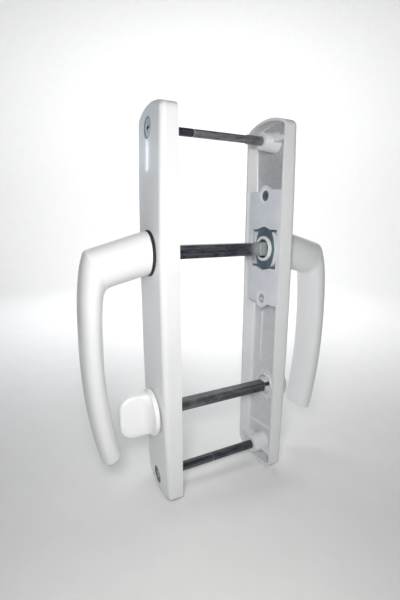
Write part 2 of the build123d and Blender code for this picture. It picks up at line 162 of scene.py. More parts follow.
# Tie screws' tones: the edge of the recess's painted tone as shares of the head's radius, how deep
# the recess's tone and the plating's end come in below the face, and how much paler the plating's
# clouds are
BOLT_RECESS_EDGE = (0.62, 0.66)
BOLT_RECESS_SUNK = (0.00005, 0.0002)
BOLT_PLATING_END = (0.0022, 0.0030)
BOLT_PALER = 1.5

# Painted shade in rings round the tie screws' heads, on the inside plate's outer side only
SEAT_SHADE_RING = 0.0008
SEAT_SHADE_FADE = 0.0002
SEAT_SHADE_FROM = (-0.0405, -0.0400)

# Cross recesses: reach and half width as shares of the head's radius, depth, and the floor's share
# of the outline that the taper leaves
BOLT_RECESS = (0.58, 0.115, 0.0021, 0.45)
BEARING_RECESS = (0.6, 0.13, 0.0012, 0.4)

# Bearing screws; their core, neck and point are shares of their radius
BEARING_SCREW_HEAD_DEPTH = 0.0013
BEARING_SCREW_HEAD_EDGE = 0.00015
BEARING_SCREW_RADIUS = 0.0017
BEARING_SCREW_PITCH = 0.0006
BEARING_SCREW_CORE = 0.76
BEARING_SCREW_NECK = 0.9
BEARING_SCREW_POINT = 0.3
BEARING_THREAD_LEAD = 0.0002
BEARING_RECESS_TURNS = (20, 65)
BEARING_DARKER_ABOVE = (-0.001, 0.001)

# Set screws; their core and ends are shares of their radius
SET_SCREW_PITCH = 0.0008
SET_SCREW_CORE = 0.84
SET_SCREW_ENDS = (0.8, 0.55)
SET_SCREW_LEAD = 0.0003
HEX_RADIUS = 0.0014
HEX_DEPTH = 0.0025

# Round meshes, the flats on a thread's crests, and the exponent of a round section
ROUND_SIDES = 64
SMALL_SIDES = 48
ROWS_PER_TURN = 8
THREAD_FLAT = 1.3
THREAD_POINT_LENGTH = 0.0006
ROUND_STEPS = 8
ROUND = 2.0
SHARP_ANGLE = 35

# Levers, in millimetres out from the spindle's face: a top point, a bottom point and half the width
MM = 0.001
SPINDLE_FACE = 0.011751
LEVER_PAIRS = [
    ((1.40, 12.70), (1.40, -12.70), 12.70),
    ((6.0, 11.74), (5.5, -13.60), 12.65),
    ((13.0, 9.66), (11.0, -14.96), 12.60),
    ((20.0, 7.60), (16.0, -16.20), 12.60),
    ((27.0, 5.50), (20.0, -17.20), 12.55),
    ((32.0, 4.04), (22.6, -17.85), 12.50),
    ((34.6, 3.27), (24.2, -18.45), 12.45),
    ((35.8, 2.90), (25.1, -19.05), 12.40),
    ((36.3, 2.20), (25.7, -19.65), 12.40),
    ((36.9, 0.50), (26.3, -20.50), 12.40),
    ((37.8, -2.30), (26.9, -21.80), 12.40),
    ((38.8, -6.00), (27.4, -23.60), 12.40),
    ((39.8, -11.5), (27.7, -26.20), 12.40),
    ((40.8, -19.0), (28.2, -30.20), 12.40),
    ((41.6, -28.0), (28.7, -36.00), 12.40),
    ((42.0, -38.0), (29.0, -43.00), 12.35),
    ((42.2, -48.0), (29.2, -50.50), 12.30),
    ((42.25, -58.0), (29.35, -59.0), 12.20),
    ((42.1, -68.0), (29.3, -68.30), 12.05),
    ((41.6, -78.0), (28.85, -77.5), 11.85),
    ((40.8, -88.0), (28.0, -87.00), 11.65),
    ((39.6, -98.0), (27.0, -96.50), 11.50),
    ((38.1, -107.5), (25.8, -105.2), 11.35),
    ((36.4, -116.5), (24.5, -112.9), 11.25),
    ((34.5, -124.0), (23.0, -118.8), 11.15),
]
LEVER_SIDES = 72
LEVER_RINGS_PER_PAIR = 6

# Lever sections: round at the neck, squarer from one share of the length to another, then the tip
LEVER_GRIP_OVAL = 2.35
LEVER_SQUARER = (0.4, 0.9)
LEVER_TIP_ROUND = 2.2
LEVER_TIP_CROWN = 0.25
LEVER_TIP_RINGS = (0.8, 0.55, 0.25)

# Lever spigot, in millimetres: recessed mouth, groove for the retaining ring, step up to the neck
SPIGOT_RADIUS = 8.4
SPIGOT_RECESS_RADIUS = 6.25
SPIGOT_RECESS_END = 4.3
SPIGOT_MOUTH = 0.9
SPIGOT_EDGE = 0.3
RING_GROOVE_RADIUS = 7.6
RING_GROOVE = (2.35, 3.25)
NECK_START = 12.95
NECK_RADIUS = 12.58
NECK_EDGE = 0.28
NECK_EDGE_DEPTH = 0.12
LEVER_SOCKET = 8.1
LEVER_SOCKET_START = 3.8
LEVER_SOCKET_END = 26.8
# Soft edges of the painted shade in the spigot's recess and socket
RECESS_SHADE_FADE = 0.1
SOCKET_SHADE_FADE = 0.5
SET_SCREW_HOLE_RADIUS = 2.55
SET_SCREW_HOLE_DEPTH = 20.25
SET_SCREW_HOLE_FROM = -14.5
SET_SCREW_HOLE_SIDES = 32

# Neck bushes, in millimetres of depth from the plate's rim
BUSH_COLLAR_RADIUS = 13.3
BUSH_COLLAR_THICKNESS = 1.25
BUSH_COLLAR_EDGE = 0.3
BUSH_SEAT = 11.40
BUSH_SLEEVE_RADIUS = 9.9
BUSH_BORE_RADIUS = 8.5

# Thumbturn, in millimetres of depth from the plate's rim; the hub is its start, end and radius
PRIVACY_HEIGHT = -0.1012
TURN_HUB = (6.9, 11.99, 7.0)
TURN_BEVEL = 0.3
TURN_BASE_RADIUS = 14.7
TURN_BASE_FACE = 14.9
TURN_EDGE = 0.8
TURN_FLARE_END = 20.7
TURN_TIP = 33.69
TURN_HALF_THICKNESS = (3.9, 3.2)
TURN_HALF_HEIGHT = 14.2
TURN_FLAT_RINGS = (0.33, 0.67, 1.0)
TURN_CORNER = 9.0
TURN_TIP_EDGE = 1.6
TURN_OVAL = 5.0
TURN_SIDES = 96
TURN_SOCKET = 6.6
TURN_SOCKET_START = 6.4
TURN_SOCKET_END = 17.0

# Lever spindle, in millimetres
SPINDLE_HALF_SIDE = 4.0
SPINDLE_HALF_LENGTH = 60.5
SPINDLE_CHAMFER = 0.4
SPINDLE_GROOVE_HALF_HEIGHT = 0.9
SPINDLE_GROOVE_DEPTH = 1.5
SPINDLE_GROOVE_END = 23.0
SPINDLE_GROOVE_RUNOUT = 1.0
SPINDLE_NO_GROOVE = 0.01
SPINDLE_BRIGHT_FROM = 0.0265

# Bearing plates: their screws' height, and the painted highlight on the ring pressed round each
BEARING_SCREW_HEIGHT = 0.0345
BEARING_HIGHLIGHT_RADIUS = 0.0042
BEARING_HIGHLIGHT_HALF_WIDTH = 0.0006
BEARING_HIGHLIGHT_FADE = 0.0003


def new_material(name, metallic=0.0):
    """An empty node material with its output and its Principled shader."""
    material = bpy.data.materials.new(name)
    material.use_nodes = True
    tree = material.node_tree
    tree.nodes.clear()
    output = tree.nodes.new("ShaderNodeOutputMaterial")
    shader = tree.nodes.new("ShaderNodeBsdfPrincipled")
    shader.inputs["Metallic"].default_value = metallic
    tree.links.new(shader.outputs["BSDF"], output.inputs["Surface"])
    return material, tree, shader


def place(tree, scale=(1, 1, 1)):
    """Object coordinates, stretched by scale."""
    coordinates = tree.nodes.new("ShaderNodeTexCoord")
    mapping = tree.nodes.new("ShaderNodeMapping")
    mapping.inputs["Scale"].default_value = scale
    tree.links.new(coordinates.outputs["Object"], mapping.inputs["Vector"])
    return mapping.outputs["Vector"]


def axes(tree):
    """The X, Y and Z object coordinates as three values."""
    coordinates = tree.nodes.new("ShaderNodeTexCoord")
    split = tree.nodes.new("ShaderNodeSeparateXYZ")
    tree.links.new(coordinates.outputs["Object"], split.inputs["Vector"])
    return split.outputs["X"], split.outputs["Y"], split.outputs["Z"]


def math_node(tree, operation, *values):
    """One math node over one or two sockets or plain numbers."""
    node = tree.nodes.new("ShaderNodeMath")
    node.operation = operation
    for socket, value in zip(node.inputs, values):
        if isinstance(value, (int, float)):
            socket.default_value = value
        else:
            tree.links.new(value, socket)
    return node.outputs["Value"]


def product(tree, value, *others):
    """All the values multiplied."""
    for other in others:
        value = math_node(tree, "MULTIPLY", value, other)
    return value


def total(tree, value, *others):
    """All the values added."""
    for other in others:
        value = math_node(tree, "ADD", value, other)
    return value


def minus(tree, value, other):
    """A value less another."""
    return math_node(tree, "SUBTRACT", value, other)


def absolute(tree, value):
    """A value without its sign."""
    return math_node(tree, "ABSOLUTE", value)


def distance(tree, across, rise):
    """How far a point is from an axis, from its two offsets."""
    square = total(tree, product(tree, across, across), product(tree, rise, rise))
    return math_node(tree, "SQRT", square)


def noise(tree, vector, scale, detail=4.0, roughness=0.55):
    """Fractal noise from 0 to 1."""
    node = tree.nodes.new("ShaderNodeTexNoise")
    node.inputs["Scale"].default_value = scale
    node.inputs["Detail"].default_value = detail
    node.inputs["Roughness"].default_value = roughness
    tree.links.new(vector, node.inputs["Vector"])
    return node.outputs["Fac"]


def two_tone(tree, value, dark, light, half_span=0.2):
    """Colour from dark to light as a noise value passes its middle."""
    node = tree.nodes.new("ShaderNodeValToRGB")
    stops = ((0.5 - half_span, dark), (0.5 + half_span, light))
    for element, (position, colour) in zip(node.color_ramp.elements, stops):
        element.position = position
        element.color = (*colour, 1.0)
    tree.links.new(value, node.inputs["Fac"])
    return node.outputs["Color"]


def spread(tree, value, low, high, from_low=0.3, from_high=0.7):
    """Maps a value onto a range, such as a noise value onto a range of roughness."""
    node = tree.nodes.new("ShaderNodeMapRange")
    node.inputs["From Min"].default_value = from_low
    node.inputs["From Max"].default_value = from_high
    node.inputs["To Min"].default_value = low
    node.inputs["To Max"].default_value = high
    tree.links.new(value, node.inputs["Value"])
    return node.outputs["Result"]


def rises(tree, value, start, end):
    """A mask that goes from 0 to 1 between two values."""
    return spread(tree, value, 0.0, 1.0, start, end)


def falls(tree, value, start, end):
    """A mask that goes from 1 to 0 between two values."""
    return spread(tree, value, 1.0, 0.0, start, end)


def band(tree, value, centre, half_width, softness):
    """A mask that is 1 within half_width of centre and fades over softness."""
    away = absolute(tree, minus(tree, value, centre))
    return falls(tree, away, half_width, half_width + softness)


def mix_colour(tree, share, first, second):
    """Mix of two colour sockets."""
    node = tree.nodes.new("ShaderNodeMix")
    node.data_type = "RGBA"
    tree.links.new(share, node.inputs[0])
    tree.links.new(first, node.inputs[6])
    tree.links.new(second, node.inputs[7])
    return node.outputs[2]


def mix_value(tree, share, first, second):
    """Mix of two value sockets."""
    node = tree.nodes.new("ShaderNodeMix")
    tree.links.new(share, node.inputs[0])
    tree.links.new(first, node.inputs[2])
    tree.links.new(second, node.inputs[3])
    return node.outputs[0]


def surface(tree, shader, colour, rough, height, strength, depth):
    """Links a colour, a roughness and a bump to the shader."""
    relief = tree.nodes.new("ShaderNodeBump")
    relief.inputs["Strength"].default_value = strength
    relief.inputs["Distance"].default_value = depth
    tree.links.new(height, relief.inputs["Height"])
    tree.links.new(colour, shader.inputs["Base Color"])
    tree.links.new(rough, shader.inputs["Roughness"])
    tree.links.new(relief.outputs["Normal"], shader.inputs["Normal"])


def coat_parts(tree, shader, tones=COAT_TONES):
    """Gloss of the white coat, with its colour, roughness and orange peel."""
    shader.inputs["Coat Weight"].default_value = GLOSS_WEIGHT
    shader.inputs["Coat Roughness"].default_value = GLOSS_ROUGH
    vector = place(tree)
    cloud = noise(tree, vector, 35.0)
    peel = noise(tree, vector, 900.0, detail=2.0)
    return two_tone(tree, cloud, *tones), spread(tree, cloud, *COAT_ROUGH), peel


def white_coat(name, tones=COAT_TONES):
    """White gloss powder coat with a faint orange peel."""
    material, tree, shader = new_material(name)
    surface(tree, shader, *coat_parts(tree, shader, tones), *COAT_PEEL)
    return material


def casting_speckle(tree):
    """Fine speckle of bare casting."""
    return noise(tree, place(tree), 1700.0, detail=3.0, roughness=0.7)


def lever_coat():
    """The white coat outside, and painted shade in the spigot's recess and socket."""
    material, tree, shader = new_material("lever_coat")
    coat, coat_rough, peel = coat_parts(tree, shader)
    x, y, z = axes(tree)
    rim = SPIGOT_RECESS_RADIUS
    inner = falls(tree, distance(tree, x, z), rim * MM, (rim + RECESS_SHADE_FADE) * MM)
    socket_end = PLATE_RIM + LEVER_SOCKET_END * MM
    near = falls(tree, absolute(tree, y), socket_end, socket_end + SOCKET_SHADE_FADE * MM)
    recess = product(tree, inner, near)
    speckle = casting_speckle(tree)
    # Painted shade: the recess and socket are coloured near black to stand in for their shadow.
    bare = two_tone(tree, speckle, (0.07, 0.08, 0.085), (0.17, 0.185, 0.19), half_span=0.15)
    colour = mix_colour(tree, recess, coat, bare)
    rough = mix_value(tree, recess, coat_rough, spread(tree, speckle, 0.5, 0.65))
    surface(tree, shader, colour, rough, peel, *COAT_PEEL)
    return material


def cavity_mask(tree, x, y, z):
    """1 on the floor of a plate's cavity, and 0 on its walls, its bosses and its outer side."""
    depth = minus(tree, absolute(tree, y), PLATE_RIM)
    along = minus(tree, z, PLATE_MIDDLE_HEIGHT)
    along_square = product(tree, along, along)
    across_square = product(tree, x, x)
    long_sag = product(tree, along_square, PLATE_END_DROP / PLATE_HALF_LENGTH**2)
    cross_sag = product(tree, across_square, 0.5 / PLATE_CROSS_RADIUS)
    below = total(tree, depth, long_sag, cross_sag)
    floor = PLATE_DEPTH - PLATE_WALL
    deep = rises(tree, below, floor - CASTING_FADE[0], floor - CASTING_FADE[1])
    inner = falls(tree, below, *(floor + share * PLATE_WALL for share in CASTING_INTO_FLOOR))
    side_limit = PLATE_HALF_WIDTH - CASTING_INSET * PLATE_WALL
    side = falls(tree, absolute(tree, x), side_limit - CASTING_EDGE, side_limit)
    arch = product(tree, across_square, 0.5 / PLATE_END_RADIUS)
    reach = total(tree, absolute(tree, along), arch)
    end_limit = PLATE_HALF_LENGTH - CASTING_INSET * PLATE_WALL
    end = falls(tree, reach, end_limit - CASTING_EDGE, end_limit)
    return product(tree, deep, inner, side, end)


def screw_seat_shade(tree, x, y, z):
    """A mask of the painted shade in the rings round the tie screws' heads."""
    seat_shades = []
    for node in ("top_tie_screw", "bottom_tie_screw"):
        low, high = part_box(node)
        rim = (high[0] - low[0]) / 2 + SEAT_SHADE_RING
        away = distance(tree, x, minus(tree, z, (low[2] + high[2]) / 2))
        seat_shades.append(falls(tree, away, rim, rim + SEAT_SHADE_FADE))
    return product(tree, math_node(tree, "MAXIMUM", *seat_shades), falls(tree, y, *SEAT_SHADE_FROM))


def plate_coat():
    """The white coat, and raw casting with thin overspray in the cavity, with painted shade towards
    its top and painted light towards its bottom, and painted shade round the tie screws' heads.
    """
    material, tree, shader = new_material("plate_coat")
    coat, coat_rough, peel = coat_parts(tree, shader)
    x, y, z = axes(tree)
    mask = cavity_mask(tree, x, y, z)
    blotch = noise(tree, place(tree), 260.0, detail=5.0, roughness=0.7)
    grain = product(tree, total(tree, blotch, casting_speckle(tree)), 0.5)
    # Painted shade and painted light: the casting is darker towards the top of the cavity and
    # lighter towards the bottom, set by height alone.
    upper = two_tone(tree, grain, (0.36, 0.37, 0.40), (0.50, 0.51, 0.54), half_span=0.14)
    lower = two_tone(tree, grain, (0.60, 0.62, 0.645), (0.72, 0.74, 0.76), half_span=0.14)
    casting = mix_colour(tree, falls(tree, z, *CASTING_SHADE_HEIGHTS), upper, lower)
    # Painted shade: a dark colour in the gap round the tie screws' heads.
    seat_shade = two_tone(tree, blotch, (0.10, 0.115, 0.13), (0.22, 0.24, 0.26), half_span=0.15)
    colour = mix_colour(tree, mask, coat, casting)
    colour = mix_colour(tree, screw_seat_shade(tree, x, y, z), colour, seat_shade)
    rough = mix_value(tree, mask, coat_rough, spread(tree, grain, 0.5, 0.68))
    relief = mix_value(tree, mask, product(tree, peel, 0.2), grain)
    surface(tree, shader, colour, rough, relief, strength=0.25, depth=0.0003)
    return material


def steel_lines(tree):
    """Die lines along Y."""
    return noise(tree, place(tree, DIE_LINES), 1.0, detail=3.0)


def drawn_steel(name, dark, light, highlight_at=None, bare_from=None, metallic=0.75):
    """Drawn steel of a bar along Y: die lines, cloudy oil, and a painted highlight across a joint or
    shoulder, or a bare end.
    """
    material, tree, shader = new_material(name, metallic)
    lines = steel_lines(tree)
    cloud = noise(tree, place(tree, (1, 0.35, 1)), 420.0, detail=5.0, roughness=0.65)
    both = product(tree, total(tree, lines, cloud), 0.5)
    along = axes(tree)[1]
    colour = two_tone(tree, both, dark, light, half_span=0.12)
    if highlight_at is not None:
        # Painted highlight: a thin bright band across the joint or shoulder.
        mask = band(tree, along, highlight_at, EDGE_HIGHLIGHT_HALF_WIDTH, EDGE_HIGHLIGHT_FADE)
        edge_highlight = two_tone(tree, cloud, (0.38, 0.40, 0.42), (0.52, 0.54, 0.57))
        colour = mix_colour(tree, mask, colour, edge_highlight)
    if bare_from is not None:
        mask = rises(tree, along, bare_from - BARE_END_FADE, bare_from)
        bare = two_tone(tree, cloud, (0.34, 0.37, 0.375), (0.56, 0.60, 0.60))
        colour = mix_colour(tree, mask, colour, bare)
    rough = spread(tree, both, 0.30, 0.5)
    surface(tree, shader, colour, rough, lines, strength=0.3, depth=0.0001)
    return material


def tie_screw_steel(name, bolt, head_place, centre_height, head_radius):
    """Plated head in its own tone, its cross recess in a painted tone (painted shade on the top
    screw, a painted highlight on the bottom one), and a darker drawn shank.
    """
    material, tree, shader = new_material(name, 0.6)
    x, along, z = axes(tree)
    away = distance(tree, x, minus(tree, z, centre_height))
    inner = falls(tree, away, *(share * head_radius for share in BOLT_RECESS_EDGE))
    sunk = rises(tree, along, *(head_place + depth for depth in BOLT_RECESS_SUNK))
    head = falls(tree, along, *(head_place + depth for depth in BOLT_PLATING_END))
    lines = steel_lines(tree)
    cloud = noise(tree, place(tree), 420.0, detail=5.0)
    tones = []
    for tone in (bolt["face"], bolt["recess"]):
        pale = tuple(min(1.0, value * BOLT_PALER) for value in tone)
        tones.append(two_tone(tree, cloud, tone, pale))
    shank = two_tone(tree, lines, (0.03, 0.034, 0.042), (0.12, 0.13, 0.15), half_span=0.15)
    # The recess's tone is painted shade or a painted highlight, as the bolt gives it.
    plating = mix_colour(tree, product(tree, inner, sunk), *tones)
    colour = mix_colour(tree, head, shank, plating)
    rough = spread(tree, cloud, 0.25, 0.45)
    surface(tree, shader, colour, rough, lines, strength=0.2, depth=0.0001)
    return material


def plated_sheet():
    """Zinc-plated sheet steel of the bearing plates, with a painted highlight on the rings round
    their screws.
    """
    material, tree, shader = new_material("plated_sheet", 0.2)
    grain = noise(tree, place(tree, (500, 500, 90)), 1.0, detail=3.0)
    cloud = noise(tree, place(tree), 90.0)
    x, _, z = axes(tree)
    away = distance(tree, x, minus(tree, absolute(tree, z), BEARING_SCREW_HEIGHT))
    # Painted highlight: the rings round the screws are coloured paler.
    highlight_ring_mask = band(tree, away, BEARING_HIGHLIGHT_RADIUS, BEARING_HIGHLIGHT_HALF_WIDTH, BEARING_HIGHLIGHT_FADE)
    zinc = two_tone(tree, cloud, (0.74, 0.77, 0.82), (0.81, 0.84, 0.89))
    ring_highlight = two_tone(tree, cloud, (0.84, 0.86, 0.90), (0.90, 0.92, 0.95))
    colour = mix_colour(tree, highlight_ring_mask, zinc, ring_highlight)
    rough = spread(tree, grain, 0.38, 0.55)
    surface(tree, shader, colour, rough, grain, strength=0.12, depth=0.0001)
    return material


def fine_grain(tree):
    """Fine grain of plated steel."""
    return noise(tree, place(tree), 1500.0, detail=2.0)


def plain_steel(name, dark, light, rough_low, rough_high, metallic=0.8):
    """A small steel piece: cloudy plating with fine grain."""
    material, tree, shader = new_material(name, metallic)
    cloud = noise(tree, place(tree), 260.0)
    colour = two_tone(tree, cloud, dark, light)
    rough = spread(tree, cloud, rough_low, rough_high)
    surface(tree, shader, colour, rough, fine_grain(tree), strength=0.12, depth=0.00008)
    return material


def bearing_screw_steel():
    """Zinc plating, darker blue-grey on the upper screws than on the lower ones."""
    material, tree, shader = new_material("bearing_screw_steel", 0.5)
    cloud = noise(tree, place(tree), 260.0)
    upper_tone = two_tone(tree, cloud, (0.10, 0.125, 0.15), (0.19, 0.22, 0.25))
    lower_tone = two_tone(tree, cloud, (0.50, 0.52, 0.54), (0.64, 0.66, 0.68))
    # Darker towards the top: the upper screws take the darker tone.
    colour = mix_colour(tree, rises(tree, axes(tree)[2], *BEARING_DARKER_ABOVE), lower_tone, upper_tone)
    rough = spread(tree, cloud, 0.3, 0.45)
    surface(tree, shader, colour, rough, fine_grain(tree), strength=0.12, depth=0.00008)
    return material


def black_nylon():
    """Moulded nylon of the neck bushes."""
    material, tree, shader = new_material("black_nylon")
    cloud = noise(tree, place(tree), 220.0)
    colour = two_tone(tree, cloud, (0.012, 0.013, 0.016), (0.028, 0.03, 0.034))
    grain = noise(tree, place(tree), 1800.0, detail=2.0)
    rough = spread(tree, cloud, 0.42, 0.55)
    surface(tree, shader, colour, rough, grain, strength=0.1, depth=0.00006)
    return material


def make_materials():
    """One material for each of the record's slots."""
    return {
        "white_coat": white_coat("white_coat"),
        "dark_steel": drawn_steel(
            "spindle_steel", (0.038, 0.042, 0.05), (0.20, 0.22, 0.25), bare_from=SPINDLE_BRIGHT_FROM
        ),
        "zinc_sheet": plated_sheet(),
        "zinc_screw": plain_steel("zinc_screw", (0.30, 0.32, 0.33), (0.46, 0.48, 0.49), 0.3, 0.45),
        "blued_spring_steel": plain_steel(
            "blued_steel", (0.085, 0.135, 0.165), (0.17, 0.23, 0.27), 0.3, 0.45, metallic=0.4
        ),
        "bright_spring_steel": plain_steel(
            "bright_steel", (0.70, 0.71, 0.73), (0.84, 0.85, 0.87), 0.25, 0.4, metallic=0.4
        ),
        "black_steel": plain_steel(
            "black_oxide", (0.015, 0.015, 0.017), (0.035, 0.035, 0.038), 0.35, 0.5
        ),
        "black_nylon": black_nylon(),
    }


def finish_nodes(materials):
    """Gives each CAD node the material of its real surface."""
    plate = plate_coat()
    special = {
        "inside_plate": plate,
        "outside_plate": plate,
        "top_tie_sleeve": drawn_steel(
            "top_sleeve_steel", (0.10, 0.105, 0.115), (0.30, 0.31, 0.33), TOP_BOLT["joint"],
            metallic=0.45,
        ),
        "bottom_tie_sleeve": drawn_steel(
            "bottom_sleeve_steel", (0.03, 0.034, 0.042), (0.13, 0.14, 0.16), BOTTOM_BOLT["joint"]
        ),
        "privacy_bar": drawn_steel(
            "privacy_bar_steel", (0.055, 0.058, 0.062), (0.22, 0.23, 0.245), BAR_SHOULDER
        ),
        "spindle_collar": plain_steel(
            "collar_steel", (0.24, 0.27, 0.27), (0.44, 0.48, 0.475), 0.35, 0.5, metallic=0.4
        ),
    }
    for row in frame["record"]["subparts"]:
        piece = frame["nodes"][row["node"]]
        piece.data.materials.clear()
        piece.data.materials.append(special.get(row["node"], materials[row["material_slot"]]))


def loft(rings, tube=False):
    """Closed mesh through rings of as many points each; a tube's last ring meets its first."""
    shape = bmesh.new()
    rows = [[shape.verts.new(point) for point in ring] for ring in rings]
    count = len(rows[0])
    following = rows[1:] + rows[:1] if tube else rows[1:]
    for below, above in zip(rows, following):
        for index in range(count):
            after = (index + 1) % count
            shape.faces.new((below[index], below[after], above[after], above[index]))
    if not tube:
        shape.faces.new(list(reversed(rows[0])))
        shape.faces.new(rows[-1])
    bmesh.ops.recalc_face_normals(shape, faces=shape.faces)
    mesh = bpy.data.meshes.new("loft")
    shape.to_mesh(mesh)
    shape.free()
    return mesh


def cut(mesh, cutter_mesh):
    """The mesh less the cutter."""
    body = bpy.data.objects.new("body", mesh)
    cutter = bpy.data.objects.new("cutter", cutter_mesh)
    for item in (body, cutter):
        bpy.context.scene.collection.objects.link(item)
    modifier = body.modifiers.new("cut", "BOOLEAN")
    modifier.operation = "DIFFERENCE"
    modifier.object = cutter
    bpy.context.view_layer.update()
    depsgraph = bpy.context.evaluated_depsgraph_get()
    result = bpy.data.meshes.new_from_object(body.evaluated_get(depsgraph))
    bpy.data.objects.remove(body)
    bpy.data.objects.remove(cutter)
    return result


def joined_piece(name, placed_meshes, material):
    """One object from meshes with their placing matrices, with crisp corners and smooth rounds."""
    shape = bmesh.new()
    for mesh, matrix in placed_meshes:
        moved = mesh.copy()
        moved.transform(matrix)
        shape.from_mesh(moved)
        bpy.data.meshes.remove(moved)
    merged = bpy.data.meshes.new(name)
    shape.to_mesh(merged)
    shape.free()
    merged.polygons.foreach_set("use_smooth", [True] * len(merged.polygons))
    merged.set_sharp_from_angle(angle=math.radians(SHARP_ANGLE))
    merged.materials.clear()
    merged.materials.append(material)
    piece = bpy.data.objects.new(name, merged)
    bpy.context.scene.collection.objects.link(piece)
    return piece


def body_of(node):
    """The body that carries a node."""
    bodies = frame["record"]["behaviour"]["bodies"]
    return next(body for body, nodes in bodies.items() if node in nodes)


def stand_for(piece, node):
    """Puts a piece in the place of a node."""
    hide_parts(node)
    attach(piece, body_of(node))


def thread_radius(core, crest, pitch, start, end):
    """Radius of a thread from start to end along a screw, fading in and out over one turn."""
    def radius(height, angle):
        turn = (height / pitch - angle / (2 * math.pi)) % 1.0
        flank = min(1.0, THREAD_FLAT * (1 - abs(2 * turn - 1)))
        fade = max(0.0, min(1.0, (height - start) / pitch, (end - height) / pitch))
        return core + (crest - core) * (flank * fade + (1 - fade) * 0.5)
    return radius


def thread_rows(start, end, pitch, radius):
    """Rows along a threaded stretch."""
    count = math.ceil((end - start) / pitch * ROWS_PER_TURN)
    return [(start + (end - start) * step / count, radius) for step in range(count + 1)]


def turned(rows, sides=ROUND_SIDES):
    """Closed turned solid along +Z from (height, radius) rows, where a radius may be a function."""
    rings = []
    for height, radius in rows:
        ring = []
        for index in range(sides):
            angle = 2 * math.pi * index / sides
            reach = radius(height, angle) if callable(radius) else radius
            ring.append((reach * math.cos(angle), reach * math.sin(angle), height))
        rings.append(ring)
    return loft(rings)


def socket_cutter(outline, depth, shrink, above=0.0005):
    """Tapered plug with an outline, from above the face at height 0 down to a depth."""
    grown = 1 + (1 - shrink) * above / depth
    return loft([
        [(x * scale, y * scale, height) for x, y in outline]
        for height, scale in ((-above, grown), (depth, shrink))
    ])


def cross_recess(head_radius, recess):
    """Cutter for a cross recess in a screw's head, its outline of twelve corners."""
    reach_share, width_share, depth, shrink = recess
    reach, half_width = head_radius * reach_share, head_radius * width_share
    quarter = [(reach, -half_width), (reach, half_width), (half_width, half_width)]
    corners = []
    for turn in range(4):
        cosine, sine = round(math.cos(turn * math.pi / 2)), round(math.sin(turn * math.pi / 2))
        corners += [(x * cosine - y * sine, x * sine + y * cosine) for x, y in quarter]
    return socket_cutter(corners, depth, shrink)


def hex_socket():
    """Cutter for a set screw's hex socket."""
    corners = [
        (HEX_RADIUS * math.cos(math.pi * side / 3), HEX_RADIUS * math.sin(math.pi * side / 3))
        for side in range(6)
    ]
    return socket_cutter(corners, HEX_DEPTH, 1.0)


def tie_screw(node, bolt):
    """Countersunk shoulder screw with a cross recess and a cut thread."""
    low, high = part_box(node)
    head_radius = (high[0] - low[0]) / 2
    length = high[1] - low[1]
    shank, thread, pitch = bolt["shank"], bolt["thread"], bolt["pitch"]
    shank_end = bolt["joint"] - BOLT_JOINT_GAP - low[1]
    radius = thread_radius(thread * BOLT_CORE, thread, pitch, shank_end, length - pitch)
    edge = BOLT_HEAD_EDGE
    rows = [
        (0.0, head_radius - edge), (edge, head_radius), (2 * edge, head_radius - edge),
        (BOLT_HEAD_DEPTH, shank), (shank_end - edge, shank), (shank_end, shank - edge),
    ]
    rows += thread_rows(shank_end + edge, length - thread * BOLT_POINT_LENGTH, pitch, radius)
    rows.append((length, thread * BOLT_POINT_RADIUS))
    mesh = cut(turned(rows), cross_recess(head_radius, BOLT_RECESS))
    matrix = Matrix.Translation(((low[0] + high[0]) / 2, low[1], (low[2] + high[2]) / 2))
    matrix = matrix @ Matrix.Rotation(math.radians(-90), 4, "X")
    steel = tie_screw_steel(node + "_steel", bolt, low[1], (low[2] + high[2]) / 2, head_radius)
    stand_for(joined_piece(node + "_detailed", [(mesh, matrix)], steel), node)


def bearing_screws(node, material):
    """Two countersunk cross-recess screws with sharp sheet-metal threads."""
    low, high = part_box(node)
    head_radius = (high[0] - low[0]) / 2
    length = high[1] - low[1]
    facing = -1 if low[1] < 0 else 1
    screw = BEARING_SCREW_RADIUS
    pitch = BEARING_SCREW_PITCH
    edge = BEARING_SCREW_HEAD_EDGE
    start = BEARING_SCREW_HEAD_DEPTH + BEARING_THREAD_LEAD
    radius = thread_radius(screw * BEARING_SCREW_CORE, screw, pitch, start, length - pitch)
    rows = [
        (0.0, head_radius - edge), (edge, head_radius),
        (BEARING_SCREW_HEAD_DEPTH, screw * BEARING_SCREW_NECK),
    ]
    rows += thread_rows(start, length - THREAD_POINT_LENGTH, pitch, radius)
    rows.append((length, screw * BEARING_SCREW_POINT))
    mesh = cut(turned(rows, SMALL_SIDES), cross_recess(head_radius, BEARING_RECESS))
    near = low[1] if facing > 0 else high[1]
    placed = []
    for height, turn in zip((high[2] - head_radius, low[2] + head_radius), BEARING_RECESS_TURNS):
        matrix = Matrix.Translation(((low[0] + high[0]) / 2, near, height))
        matrix = matrix @ Matrix.Rotation(math.radians(-90 * facing), 4, "X")
        placed.append((mesh, matrix @ Matrix.Rotation(math.radians(turn), 4, "Z")))
    stand_for(joined_piece(node + "_detailed", placed, material), node)


def set_screw(node, material):
    """Threaded grub screw with a hex socket, its socket on the -X side."""
    low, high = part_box(node)
    radius = (high[1] - low[1]) / 2
    end = high[0] - low[0] - THREAD_POINT_LENGTH
    socket_end, point = SET_SCREW_ENDS
    thread = thread_radius(radius * SET_SCREW_CORE, radius, SET_SCREW_PITCH, SET_SCREW_LEAD, end)
    rows = [(0.0, radius * socket_end)]
    rows += thread_rows(SET_SCREW_LEAD, end, SET_SCREW_PITCH, thread)
    rows.append((high[0] - low[0], radius * point))
    mesh = cut(turned(rows, SMALL_SIDES), hex_socket())
    middle = ((low[1] + high[1]) / 2, (low[2] + high[2]) / 2)
    matrix = Matrix.Translation((low[0], *middle)) @ Matrix.Rotation(math.radians(90), 4, "Y")
    stand_for(joined_piece(node + "_detailed", [(mesh, matrix)], material), node)


